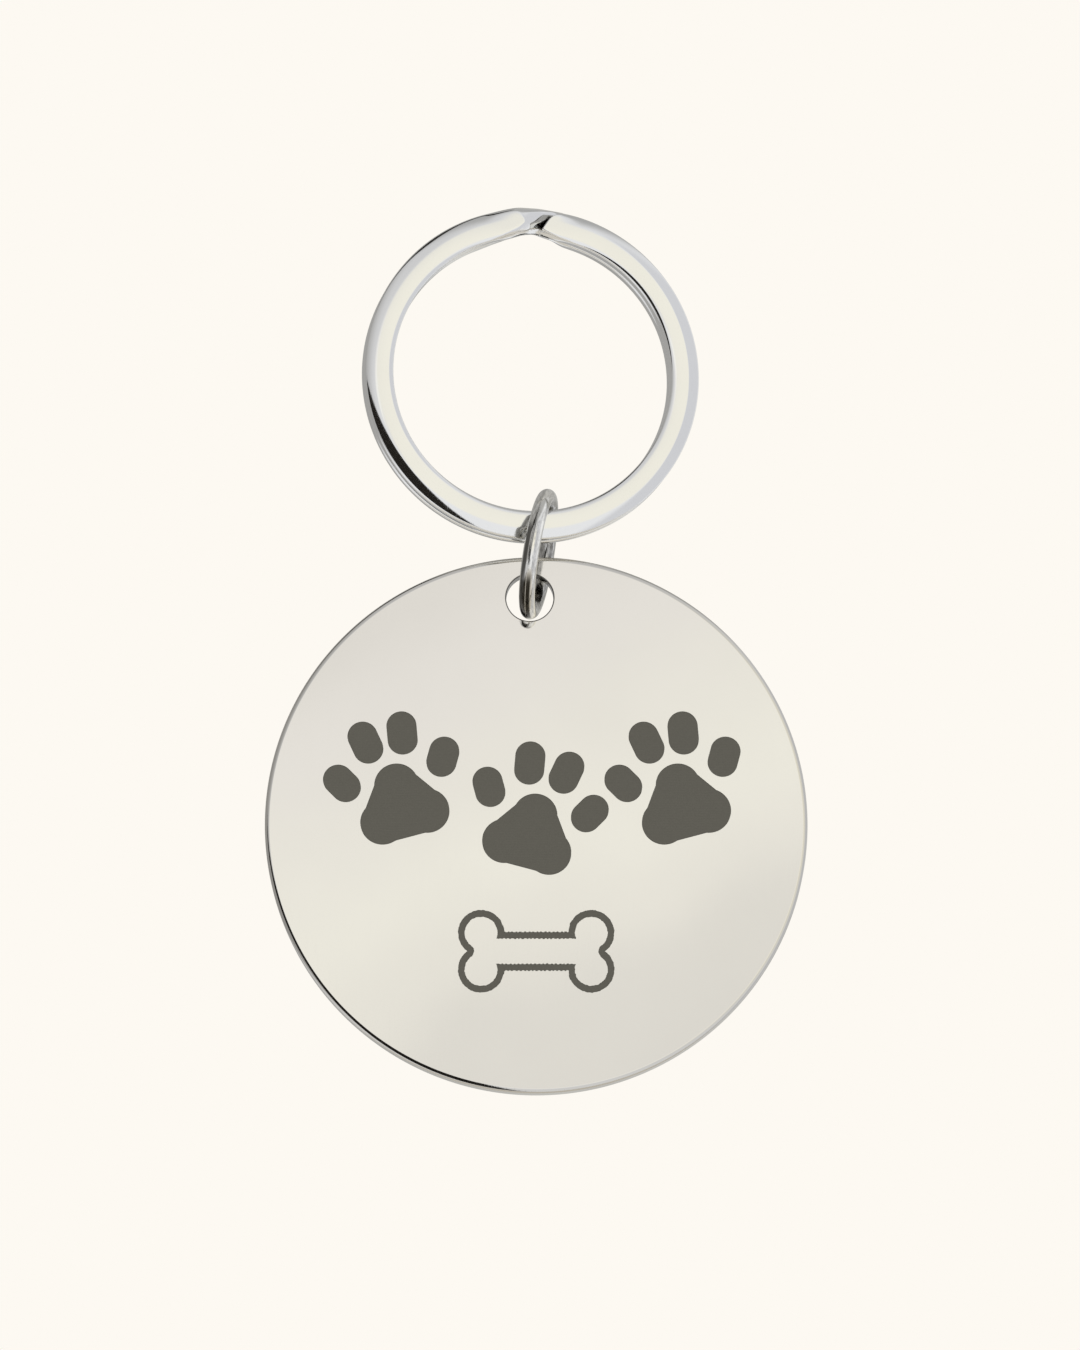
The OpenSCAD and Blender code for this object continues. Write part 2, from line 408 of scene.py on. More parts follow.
LINK_OUT, LINK_WIRE, LINK_SEAM, LINK_ROUND = 7.8, 0.95, 0.06, 0.07
LINK_REST, LINK_SIDE = 0.45, 0.48                            # how it rests in the split ring
LINK_LEAN, LINK_TURN, SEAM_PLACE = math.radians(10), math.radians(6), math.radians(120)
LINK_ROWS, LINK_COLUMNS, ROUND_ROWS = 720, 64, 6


def jump_ring():
    """The points, faces and uv of the jump ring's wire."""
    radius = (LINK_OUT - LINK_WIRE) / 2
    turn = TAU - LINK_SEAM / radius
    round_rows = np.linspace(0, math.pi / 2, ROUND_ROWS + 1)
    near_end = (LINK_ROUND * (1 - np.cos(round_rows)))[1:] / radius
    a = np.unique(np.concatenate([np.linspace(0, turn, LINK_ROWS), near_end, turn - near_end]))
    points = []
    for v in a:
        r = LINK_WIRE / 2 - end_shrink(min(v, turn - v) * radius, LINK_ROUND)
        for b in np.arange(LINK_COLUMNS) / LINK_COLUMNS * TAU:
            q = radius + r * math.cos(b)
            points.append((q * math.cos(v), q * math.sin(v), r * math.sin(b)))

    hang = (LINK_OUT / 2 - LINK_WIRE) * math.cos(LINK_LEAN)
    place = Vector((LINK_SIDE, 0, -2 * RING_IN + LINK_REST - hang))
    matrix = Matrix.Translation(place)
    for angle, axis in ((-LINK_TURN, "Z"), (LINK_LEAN, "Y"), (math.pi / 2, "Y"), (SEAM_PLACE, "Z")):
        matrix = matrix @ Matrix.Rotation(angle, 4, axis)
    m = np.array(matrix)
    placed = np.array(points) @ m[:3, :3].T + m[:3, 3]
    faces = tube_faces(len(a), LINK_COLUMNS, flip=True)
    return placed, faces, tube_uv(faces, LINK_COLUMNS, a * radius)


# ---------------------------------------------------------------- tag disc and its marks

TAG_R, TAG_HALF = 16.0, 0.6
# The disc's edge, from the face to the middle: each leg's first and last tilt, and its length
RIM_LEGS = [(0, 8, 0.02), (8, 16.5, 0.15), (16.5, 32, 0.08), (32, 90, 0.07)]
RIM_STEPS, RIM_COUNT = 8, 384
HOLE_R, HOLE_BEVEL, HOLE_COUNT = 1.4, 0.07, 144
MARK_DEPTH, MARK_SINK, MARK_GAP = 0.1, 0.02, 0.01

# A paw print: its size, the row's pitch, shift, tilt and height, and the pad's three lobes with
# the bars between them. Toes are (aside, up, length, turn); these and the lobes are shares of PAW
PAW, PAW_PITCH, PAW_SHIFT, PAW_TILT, PAW_HEIGHT = 8.0, 8.3, 0.9, math.radians(15), 1.6
PADS, PAD_R, PAD_WAIST = np.array([(0, -0.03), (-0.17, -0.27), (0.17, -0.27)]), 0.165, 0.155
TOES = [(0.14, 0.34, 0.1, math.radians(10)), (0.385, 0.09, 0.08, math.radians(30))]
TOE_R = 0.112

BONE_LENGTH, BONE_HEIGHT, BONE_LOBE, BONE_SHAFT = 9.2, 4.9, 1.36, 2.3
BONE_LINE, BONE_DROP, BONE_ROUGH = 0.4, 7.6, 0.045

tag_low, tag_high = (np.array(v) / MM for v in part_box("tag_disc"))
TAG_MID = (tag_low + tag_high) / 2
HOLE_MID = np.array(next(j for j in frame["joints"] if j["name"] == "tag_swing")["pos_m"]) / MM


def circle(centre, r, count):
    """The flat points of a circle."""
    a = np.arange(count) / count * TAU
    return np.stack([centre[0] + r * np.cos(a), centre[1] + r * np.sin(a)], 1)


def turned(points, angle):
    """Flat points, turned clockwise by an angle."""
    c, s = math.cos(angle), math.sin(angle)
    return points @ np.array([[c, s], [-s, c]])


def pad_outline(inset, count=180):
    """The pad's outline: the furthest reach of its lobes and bars in each direction."""
    mid = PADS.mean(0) * PAW
    a = np.arange(count) / count * TAU
    ways = np.stack([np.cos(a), np.sin(a)], 1)
    reach = np.zeros(count)
    for i in range(3):
        p, q = PADS[i] * PAW - mid, PADS[(i + 1) % 3] * PAW - mid
        r = PAW * PAD_R - inset
        along = ways @ p
        inside_shade = along ** 2 - p @ p + r * r
        reach = np.maximum(reach, np.where(inside_shade > 0, along + np.sqrt(np.abs(inside_shade)), 0))
        side = (q - p) / np.linalg.norm(q - p)
        out = np.array([side[1], -side[0]])
        out = out if out @ (p + q) > 0 else -out
        far = (p @ out + PAW * PAD_WAIST - inset) / np.maximum(ways @ out, 1e-6)
        hit = ways * far[:, None]
        on = ((hit - p) @ side > 0) & ((hit - q) @ side < 0) & (ways @ out > 0)
        reach = np.maximum(reach, np.where(on, far, 0))
    return mid + ways * reach[:, None]


def toe_outline(side, toe, inset, count=32):
    """A bar with round ends."""
    x, y, length, angle = toe
    r = PAW * TOE_R - inset
    a = np.linspace(0, math.pi, count)
    top = np.stack([r * np.cos(a), length * PAW / 2 + r * np.sin(a)], 1)
    return turned(np.concatenate([top, -top]), -side * angle) + PAW * np.array([side * x, y])


def paw_outlines(inset):
    """The outlines of three paw prints, drawn in by the inset, tilted one way and the other."""
    loops = []
    for i, way in ((-1, 1), (0, -1), (1, 1)):
        parts = [pad_outline(inset)] + [toe_outline(s, toe, inset) for s in (-1, 1) for toe in TOES]
        place = np.array([i * PAW_PITCH, PAW_HEIGHT + way * PAW_SHIFT])
        loops += [turned(part, way * PAW_TILT) + place for part in parts]
    return loops


def bone_loop(inset, seed):
    """The outline of a bone drawn in by the inset, with a burnt line's slightly ragged edge."""
    r = BONE_LOBE - inset
    cx, cy = BONE_LENGTH / 2 - BONE_LOBE, BONE_HEIGHT / 2 - BONE_LOBE
    shaft = BONE_SHAFT / 2 - inset
    notch_x = cx + math.sqrt(BONE_LOBE ** 2 - cy ** 2)       # where the two lobes of an end meet
    low = -math.atan2(cy, notch_x - cx)
    a = np.linspace(math.pi + math.asin((cy - shaft) / r), low, 110)
    arc = np.stack([cx + r * np.cos(a), cy + r * np.sin(a)], 1)
    if inset > 0:
        b = np.linspace(math.pi + low, math.pi, 12)[1:]
        notch = np.stack([notch_x + inset * np.cos(b), inset * np.sin(b)], 1)
        arc = np.concatenate([arc, notch])
    line_x = np.linspace(-arc[0, 0], arc[0, 0], 260)[1:-1]
    top = np.stack([line_x, np.full(len(line_x), shaft)], 1)
    right = np.concatenate([arc, (arc * (1, -1))[::-1][1:]])
    loop = np.concatenate([top, right, -top, -right])
    way = np.roll(loop, -1, 0) - np.roll(loop, 1, 0)
    out = np.stack([-way[:, 1], way[:, 0]], 1)
    out /= np.maximum(np.linalg.norm(out, axis=1), 1e-9)[:, None]
    shift = []
    for x, y in loop:
        # a wobble all along, and the ticks of the raster on the shaft
        wobble = (0.6 * noise.noise(Vector((x * 5.5, y * 5.5, seed)))
                  + 0.5 * noise.noise(Vector((x * 14, y * 14, seed + 7))))
        on_shaft = smoothstep((cx - 0.9 - abs(x)) / 0.5)
        drift = 2 * noise.noise(Vector((x * 3, y * 3, seed + 3)))
        tick = math.copysign(1, math.sin(x * 26 + drift))
        shift.append(wobble * (1 - 0.5 * on_shaft) + 0.45 * tick * on_shaft)
    loop = loop + out * (np.array(shift) * BONE_ROUGH)[:, None]
    return loop + (0, -BONE_DROP)


def bone_loops(inset):
    """The outer and the inner edge of the bone's line, drawn together by the inset."""
    return [bone_loop(inset, 3.1), bone_loop(BONE_LINE - inset, 8.7)]


def triangles(loops):
    """Triangles of the plane between closed loops, and the loops' points."""
    points, edges = [], []
    for loop in loops:
        n = len(points)
        points += [Vector(p) for p in loop]
        edges += [(n + k, n + (k + 1) % len(loop)) for k in range(len(loop))]
    found = geometry.delaunay_2d_cdt(points, edges, [], 1, 1e-7)
    return np.array([tuple(p) for p in found[0]]), np.array(found[2])


def inside(loop, spots):
    """Which spots lie inside the closed loop."""
    x, y = spots[:, 0][:, None], spots[:, 1][:, None]
    a, b = loop, np.roll(loop, -1, 0)
    crossing = (a[:, 1] > y) != (b[:, 1] > y)
    with np.errstate(divide="ignore", invalid="ignore"):
        at = (b[:, 0] - a[:, 0]) * (y - a[:, 1]) / (b[:, 1] - a[:, 1]) + a[:, 0]
    return (crossing & (x < at)).sum(1) % 2 == 1


class Soup:
    """Collects faces with their own corner normals, in millimetres, round the tag's middle."""

    def __init__(self):
        self.points, self.faces, self.normals = [], [], []

    def add(self, corners, normals):
        n = len(self.points)
        self.points += [tuple(c) for c in corners]
        self.faces.append(tuple(range(n, n + len(corners))))
        self.normals += [tuple(v) for v in normals]

    def flat(self, flat_points, tris, y, front):
        """Triangles of the plane y, facing the front or the back."""
        way = (0, -1, 0) if front else (0, 1, 0)
        for tri in tris:
            p = flat_points[tri]
            (ax, az), (bx, bz) = p[1] - p[0], p[2] - p[0]
            if (ax * bz - bx * az > 0) != front:
                p = p[::-1]
            self.add([(q[0], y, q[1]) for q in p], [way] * 3)

    def wall(self, loop, y0, y1, inwards):
        """A wall along a loop, from depth y0 to y1."""
        following = np.roll(loop, -1, 0)
        area = np.sum(loop[:, 0] * following[:, 1] - following[:, 0] * loop[:, 1])
        if (area > 0) == inwards:
            loop = loop[::-1]
            following = np.roll(loop, -1, 0)
        way = np.roll(loop, -1, 0) - np.roll(loop, 1, 0)
        out = np.stack([way[:, 1], -way[:, 0]], 1)
        out /= np.maximum(np.linalg.norm(out, axis=1), 1e-9)[:, None]
        for p, q, m, n in zip(loop, following, out, np.roll(out, -1, 0)):
            self.add([(p[0], y0, p[1]), (q[0], y0, q[1]), (q[0], y1, q[1]), (p[0], y1, p[1])],
                     [(m[0], 0, m[1]), (n[0], 0, n[1]), (n[0], 0, n[1]), (m[0], 0, m[1])])

    def lathe(self, centre, profile, count):
        """Turns a profile of (radius, y, normal's radial share, normal's y share) round y."""
        a = np.arange(count + 1) / count * TAU
        c, s = np.cos(a), np.sin(a)
        for low, high in zip(profile[:-1], profile[1:]):
            for k in range(count):
                quad = [(k, *low), (k, *high), (k + 1, *high), (k + 1, *low)]
                places = [(centre[0] + r * c[j], y, centre[1] + r * s[j])
                          for j, r, y, _, _ in quad]
                self.add(places, [(n * c[j], m, n * s[j]) for j, _, _, n, m in quad])

    def piece(self, name, offset, *args):
        """Joins corners of the same place and normal, and makes the piece."""
        places, turns = np.round(self.points, 5), np.round(self.normals, 3) + 0.0
        _, first, which = np.unique(np.concatenate([places, turns], axis=1), axis=0,
                                    return_index=True, return_inverse=True)
        which = which.ravel()
        faces, normals = [], []
        for face in self.faces:
            joined = [which[v] for v in face]
            if len(set(joined)) == len(joined):
                faces.append(joined)
                normals += [self.normals[v] for v in face]
        points = np.array(self.points)[first]
        return make_piece(name, points + offset, faces, *args, normals=normals)


def quarter(r_from, r_to, y_from, y_to, turn_from, turn_to, count=8):
    """A rounded corner of a lathe profile. The turns are the normal's angle from the radius."""
    a_from, a_to = math.radians(turn_from), math.radians(turn_to)
    sine, cosine = math.sin(a_to) - math.sin(a_from), math.cos(a_to) - math.cos(a_from)
    out = []
    for k in range(count + 1):
        a = math.radians(turn_from + (turn_to - turn_from) * (k / count))
        f = (math.sin(a) - math.sin(a_from)) / sine
        g = (math.cos(a) - math.cos(a_from)) / cosine
        out.append((r_from + (r_to - r_from) * g, y_from + (y_to - y_from) * f,
                    math.cos(a), math.sin(a)))
    return out


def rim_profile():
    """The disc's edge from the front face to the back: a narrow bevel and a rounding on each."""
    r, depth = 0.0, 0.0
    front = [(0.0, 0.0, 0.0)]
    for start, end, length in RIM_LEGS:
        for k in range(RIM_STEPS):
            middle = math.radians(start + (end - start) * (k + 0.5) / RIM_STEPS)
            r += math.cos(middle) * length / RIM_STEPS
            depth += math.sin(middle) * length / RIM_STEPS
            front.append((r, depth, math.radians(start + (end - start) * (k + 1) / RIM_STEPS)))
    front = [(TAG_R - r + x, -TAG_HALF + y, math.sin(a), -math.cos(a)) for x, y, a in front]
    return front + [(x, -y, n, -m) for x, y, n, m in front[::-1]]


def tag_disc(mat):
    """The polished disc, with its hole and the pockets of its marks."""
    soup = Soup()
    face, back = -TAG_HALF, TAG_HALF
    hole = (HOLE_MID - TAG_MID)[[0, 2]]
    edge = rim_profile()
    bore_out = HOLE_R + HOLE_BEVEL
    rim = circle((0, 0), edge[0][0], RIM_COUNT)
    bore = circle(hole, bore_out, HOLE_COUNT)
    within_bore = bore_out * math.cos(math.pi / HOLE_COUNT) - 1e-4
    paws, bone = paw_outlines(0.0), bone_loops(0.0)
    # the front face with its pockets
    points, tris = triangles([rim, bore, *paws, *bone])
    spots = points[tris].mean(1)
    in_mark = inside(bone[0], spots) & ~inside(bone[1], spots)
    for loop in paws:
        in_mark |= inside(loop, spots)
    in_hole = (np.hypot(*(spots - hole).T) < within_bore) & ~in_mark
    soup.flat(points, tris[~in_mark & ~in_hole], face, True)
    soup.flat(points, tris[in_mark], face + MARK_DEPTH, True)
    for loop in paws + bone[:1]:
        soup.wall(loop, face, face + MARK_DEPTH, True)
    soup.wall(bone[1], face, face + MARK_DEPTH, False)
    # the back face, the rim and the hole
    points, tris = triangles([rim, bore])
    spots = points[tris].mean(1)
    soup.flat(points, tris[np.hypot(*(spots - hole).T) > within_bore], back, False)
    soup.lathe((0, 0), edge, RIM_COUNT)
    soup.lathe(hole, quarter(bore_out, HOLE_R, back, back - HOLE_BEVEL, 90, 180)
               + quarter(HOLE_R, bore_out, face + HOLE_BEVEL, face, 180, 270), HOLE_COUNT)
    return soup.piece("tag_disc_polished", TAG_MID, mat, "tag", "tag_disc", "tag_disc")


def fill(name, loops, holes, mat, replaced):
    """A thin dark fill on the floor of its pocket."""
    soup = Soup()
    top, bottom = -TAG_HALF + MARK_SINK, -TAG_HALF + MARK_DEPTH
    points, tris = triangles(loops + holes)
    spots = points[tris].mean(1)
    keep = np.zeros(len(tris), bool)
    for loop in loops:
        keep |= inside(loop, spots)
    for loop in holes:
        keep &= ~inside(loop, spots)
    soup.flat(points, tris[keep], top, True)
    soup.flat(points, tris[keep], bottom, False)
    for loop in loops:
        soup.wall(loop, top, bottom, False)
    for loop in holes:
        soup.wall(loop, top, bottom, True)
    return soup.piece(name, TAG_MID, mat, "tag", "dark_fill", replaced)


# ---------------------------------------------------------------- materials

TAG_COLOUR, RING_COLOUR = (0.84, 0.819, 0.766), (0.885, 0.885, 0.868)
# the colours of the painted shade in the split ring's step crease and at the tag hole's edge
CREASE_SHADE_COLOUR, HOLE_SHADE_COLOUR = (0.03, 0.026, 0.022), (0.04, 0.037, 0.032)
# the wire's own colour, and the dark colour of its random dull streaks and of the shade painted on
# it
WIRE_COLOUR, DULL_AND_SHADE_COLOUR = (0.93, 0.92, 0.88), (0.032, 0.028, 0.022)
ENGRAVING_COLOUR = (0.112, 0.110, 0.096)

# The jump ring's patches of painted shade: first and last place along the wire in millimetres,
# first and last place across it from -1 at its left to 1 at its right, softness across, and
# strength
WIRE_PATCHES = [(10.7, 14.4, -0.78, 0.5, 0.12, 1.0), (7.6, 9.9, -0.16, 0.12, 0.08, 0.88),
                (7.9, 12.5, -0.84, -0.28, 0.1, 0.88)]


def polished(name, colour, roughness, dome=0.0, wave=0.0, crease_shaded=False):
    """Polished metal with faint clouds in its tone, hair-fine handling marks and a slight
    unevenness. dome is for the disc: it tilts the normals outwards towards the rim, and paints
    shade on the rim and the hole's edge by darkening their colour. wave lets the normals wander a
    little, and the last flag paints shade into the colour where the mesh's crease shade attribute
    says."""
    mat, t, shader = material(name)
    place = t.new("ShaderNodeTexCoord", out=3)
    mm = t.vector("SCALE", place, scale=1 / MM)
    clouds = t.noise(mm, 0.11, 3.0, 0.55)
    fine = t.noise(mm, 9.0, 3.0, 0.6)
    base = t.vector("SCALE", colour, scale=t.linear(clouds, 0.3, 0.7, 0.985, 1.015))
    if crease_shaded:
        # painted shade: the step's crease is darkened in the colour where the mesh's shade
        # attribute says
        crease_shade = t.new("ShaderNodeAttribute", out=2, attribute_name="crease_shade")
        crease_shade = t.times(crease_shade, t.linear(fine, 0.3, 0.7, 0.9, 1.0))
        base = t.mix(crease_shade, base, CREASE_SHADE_COLOUR)

    def distance(centre):
        """The distance from a point, seen square to the disc."""
        across = t.vector("MULTIPLY", t.vector("SUBTRACT", mm, tuple(centre)), (1, 0, 1))
        return t.vector("LENGTH", across, out=1)

    if dome:
        # painted shade: the rim's colour is darkened below the face's, and the hole's edge is
        # painted dark
        rim = t.smooth(distance(TAG_MID), TAG_R - 0.26, TAG_R - 0.2)
        base = t.vector("SCALE", base, scale=t.linear(rim, 0.0, 1.0, 1.0, 0.8))
        edge = HOLE_R + HOLE_BEVEL
        hole_shade = t.times(t.smooth(distance(HOLE_MID), edge + 0.02, edge - 0.03), 0.85)
        base = t.mix(hole_shade, base, HOLE_SHADE_COLOUR)
    t.feed(shader.inputs["Base Color"], base)
    shader.inputs["Metallic"].default_value = 1.0

    # hair-fine marks: long thin noise in three directions
    marks = None
    for angle, seed in ((35, 0.0), (-50, 40.0), (80, 90.0)):
        laid = t.new("ShaderNodeMapping", {"Vector": mm, "Rotation": (0, math.radians(angle), 0),
                                           "Location": (seed, 0, 0), "Scale": (14.0, 1.0, 0.35)})
        line = t.smooth(t.noise(laid, 1.0, 1.0, 0.4), 0.66, 0.74)
        marks = line if marks is None else t.math("MAXIMUM", marks, line)
    rough = t.math("ADD", t.linear(fine, 0.3, 0.7, roughness * 0.85, roughness * 1.15),
                   t.times(marks, roughness * 0.15))
    t.feed(shader.inputs["Roughness"], rough)

    normal = t.new("ShaderNodeNewGeometry", out=1)
    if dome:
        away = t.vector("SUBTRACT", place, tuple(TAG_MID * MM))
        away = t.vector("MULTIPLY", away, (1, 0, 1))
        normal = t.vector("ADD", normal, t.vector("SCALE", away, scale=dome / (TAG_R * MM)))
    if wave:
        wander = t.new("ShaderNodeTexNoise", {"Vector": mm, "Scale": 0.085, "Detail": 1.0}, 1)
        wander = t.vector("SUBTRACT", wander, (0.5, 0.5, 0.5))
        normal = t.vector("ADD", normal, t.vector("SCALE", wander, scale=wave))
    normal = t.vector("NORMALIZE", normal)
    height = t.math("ADD", t.times(fine, 0.1), t.times(marks, -0.08))
    t.feed(shader.inputs["Normal"], t.bump(height, 0.35, 0.006 * MM, Normal=normal))
    return mat


def wire_streaks_and_shade(name):
    """Bright steel wire with faint drawing streaks along it and dull streaks at random, with shade
    painted into its colour in WIRE_PATCHES and on the ring's inside."""
    mat, t, shader = material(name)
    along = t.new("ShaderNodeUVMap", uv_map="along")
    run, around, _ = t.new("ShaderNodeSeparateXYZ", {0: along}, out=None).outputs
    turn = t.times(around, TAU)
    side, outwards = t.math("SINE", turn), t.math("COSINE", turn)
    drawn = t.new("ShaderNodeCombineXYZ", {0: t.times(run, 0.5), 1: t.times(outwards, 1.1),
                                           2: t.times(side, 1.1)})
    streaks = t.noise(drawn, 1.5, 4.0, 0.62)
    finer = t.noise(drawn, 6.0, 3.0, 0.6)
    uneven = t.linear(streaks, 0.35, 0.65, 0.93, 1.0)

    def patch(run_from, run_to, side_from, side_to, soft, strength):
        area = t.times(t.smooth(run, run_from - 0.5, run_from + 0.5),
                       t.smooth(run, run_to + 0.3, run_to - 0.3))
        across = t.times(t.smooth(side, side_from - soft, side_from + soft),
                         t.smooth(side, side_to + soft, side_to - soft))
        front = t.times(t.smooth(outwards, 0.0, 0.3), strength)
        return t.times(t.times(t.times(area, across), front), uneven)

    mixed = t.math("ADD", t.times(streaks, 0.65), t.times(finer, 0.35))
    dull_and_shade = t.times(t.smooth(mixed, 0.42, 0.62), 0.36)
    # painted shade: the wire is painted dark in WIRE_PATCHES
    for values in WIRE_PATCHES:
        dull_and_shade = t.math("MAXIMUM", dull_and_shade, patch(*values))
    # painted shade: the ring's inside is painted darker
    inside_shade = t.times(t.smooth(outwards, 0.2, -0.5), t.linear(finer, 0.3, 0.7, 0.3, 0.85))
    dull_and_shade = t.math("MAXIMUM", dull_and_shade, inside_shade)
    t.feed(shader.inputs["Base Color"], t.mix(dull_and_shade, WIRE_COLOUR, DULL_AND_SHADE_COLOUR))
    shader.inputs["Metallic"].default_value = 1.0
    t.feed(shader.inputs["Roughness"], t.linear(streaks, 0.35, 0.65, 0.08, 0.18))
    height = t.math("ADD", streaks, t.times(finer, 0.35))
    t.feed(shader.inputs["Normal"], t.bump(height, 0.22, 0.02 * MM))
    return mat


def burnt(name):
    """Dark grey engraving: matt, with the fine lines of its raster and a faint grain."""
    mat, t, shader = material(name)
    mm = t.vector("SCALE", t.new("ShaderNodeTexCoord", out=3), scale=1 / MM)
    raster = t.new("ShaderNodeTexWave", {"Vector": mm, "Scale": 3.2, "Distortion": 0.6,
                                         "Detail": 1.0}, bands_direction="Z")
    grain = t.noise(mm, 14.0, 3.0, 0.6)
    tone = t.times(t.linear(grain, 0.3, 0.7, 0.93, 1.07), t.linear(raster, 0.0, 1.0, 0.97, 1.03))
    t.feed(shader.inputs["Base Color"], t.vector("SCALE", ENGRAVING_COLOUR, scale=tone))
    shader.inputs["Roughness"].default_value = 0.62
    shader.inputs["Specular IOR Level"].default_value = 0.25
    height = t.math("ADD", t.times(raster, 0.5), grain)
    t.feed(shader.inputs["Normal"], t.bump(height, 0.4, 0.006 * MM))
    return mat


tag_metal = polished("polished_steel_tag", TAG_COLOUR, 0.05, dome=0.028, wave=0.02)
ring_metal = polished("bright_nickel_ring", RING_COLOUR, 0.06, crease_shaded=True)
link_metal = wire_streaks_and_shade("drawn_steel_wire")
dark = burnt("dark_engraving")

points, faces, uv, crease_shade = split_ring()
wire = make_piece("split_ring_wire", points, faces, ring_metal, "split_ring", "split_ring",
                  "split_ring", uv=uv)
crease_shade_layer = wire.data.attributes.new("crease_shade", "FLOAT", "POINT")
crease_shade_layer.data.foreach_set("value", crease_shade.astype(np.float32))
points, faces, uv = jump_ring()
make_piece("jump_ring_wire", points, faces, link_metal, "jump_ring", "jump_ring", "jump_ring",
           uv=uv)
tag_disc(tag_metal)
fill("paw_print_marks", paw_outlines(MARK_GAP), [], dark, "paw_marks")
outer_bone, inner_bone = bone_loops(MARK_GAP)
fill("bone_outline_mark", [outer_bone], [inner_bone], dark, "bone_mark")


# ---------------------------------------------------------------- stage, lamp and camera

FLOOR_R, FLOOR_Z = 1.1, -0.72                                # in metres
FLOOR_RINGS, FLOOR_COUNT = 10, 96
FLOOR_COLOUR = srgb(214, 212, 208)

# The studio in the metal. Its light all round, near the split ring's mirror direction and away
# from it, at the upper left, beside on the right and overhead
FRONT_LIGHT, COOL_LIGHT, UPPER_LEFT = srgb(250, 247, 236), srgb(240, 241, 244), srgb(214, 214, 216)
BESIDE, OVERHEAD = srgb(216, 217, 222), srgb(176, 176, 176)
# Its grey walls: the azimuths at which each starts and is full, and its colour
GREY_WALLS = [(-14.0, -42.0, srgb(168, 167, 166)), (110.0, 140.0, srgb(188, 187, 184)),
              (-110.0, -140.0, srgb(166, 165, 163)), (172.0, 177.0, srgb(166, 165, 163))]
BEHIND, BELOW = srgb(230, 229, 224), srgb(186, 185, 183)
# Its dark flags: near and far edge, and first and last place round the mirror direction
FLAGS = [(25.0, 49.0, 175.0, 252.0), (46.0, 66.0, 88.0, 152.0)]
FLAG_COLOUR = (0.016, 0.014, 0.012)
# The soft bands in front, seen in the tag: their direction, half width, and places and colours
BAND_X, BAND_Z, BAND_HALF = 0.437, 0.9, 0.12
BANDS = [(0.0, (0.84, 0.82, 0.81)), (0.2, (0.85, 0.835, 0.82)), (0.33, (0.915, 0.90, 0.89)),
         (0.48, (0.945, 0.935, 0.90)), (0.6, (0.985, 0.98, 0.93)), (0.7, (0.945, 0.935, 0.895)),
         (0.8, (0.85, 0.84, 0.815)), (1.0, (0.83, 0.82, 0.80))]


def floor():
    """A round pale floor well below the hanging tag, fading out at its edge."""
    points = [(0, 0, FLOOR_Z)]
    for i in range(1, FLOOR_RINGS + 1):
        r = FLOOR_R * i / FLOOR_RINGS
        for k in range(FLOOR_COUNT):
            a = k / FLOOR_COUNT * TAU
            points.append((r * math.cos(a), r * math.sin(a), FLOOR_Z))
    faces = [(0, 1 + k, 1 + (k + 1) % FLOOR_COUNT) for k in range(FLOOR_COUNT)]
    faces += grid_faces(FLOOR_RINGS, FLOOR_COUNT, start=1)
    me = bpy.data.meshes.new("floor")
    me.from_pydata(points, [], faces)
    me.update()
    mat, t, shader = material("pale_floor")
    place = t.new("ShaderNodeTexCoord", out=3)
    tone = t.linear(t.noise(place, 40.0, 3.0, 0.6), 0.3, 0.7, 0.98, 1.0)
    t.feed(shader.inputs["Base Color"], t.vector("SCALE", FLOOR_COLOUR, scale=tone))
    shader.inputs["Roughness"].default_value = 0.9
    shader.inputs["Specular IOR Level"].default_value = 0.1
    away = t.vector("LENGTH", t.vector("MULTIPLY", place, (1, 1, 0)), out=1)
    fade = t.smooth(away, FLOOR_R * 0.55, FLOOR_R * 0.98)
    clear = t.new("ShaderNodeBsdfTransparent")
    out = t.new("ShaderNodeMixShader", {0: fade, 1: shader.outputs[0], 2: clear})
    t.feed(mat.node_tree.nodes["Material Output"].inputs[0], out)
    me.materials.append(mat)
    ob = bpy.data.objects.new("floor", me)
    bpy.context.scene.collection.objects.link(ob)


def direction(azimuth, rise):
    """The way to a place seen from the object: azimuth from the front towards the right."""
    a, e = math.radians(azimuth), math.radians(rise)
    return Vector((math.sin(a) * math.cos(e), -math.cos(a) * math.cos(e), math.sin(e)))


def lamp(name, azimuth, rise, distance, size, power, colour):
    """A soft rectangular lamp towards the object, which doesn't show in the metal."""
    data = bpy.data.lights.new(name, "AREA")
    data.shape, data.size, data.size_y = "RECTANGLE", *size
    data.energy, data.color = power, colour
    ob = bpy.data.objects.new(name, data)
    way = direction(azimuth, rise)
    ob.location = way * distance + CAM_TARGET
    ob.rotation_mode = "QUATERNION"
    ob.rotation_quaternion = way.to_track_quat("Z", "Y")
    ob.visible_camera = ob.visible_glossy = False
    bpy.context.scene.collection.objects.link(ob)


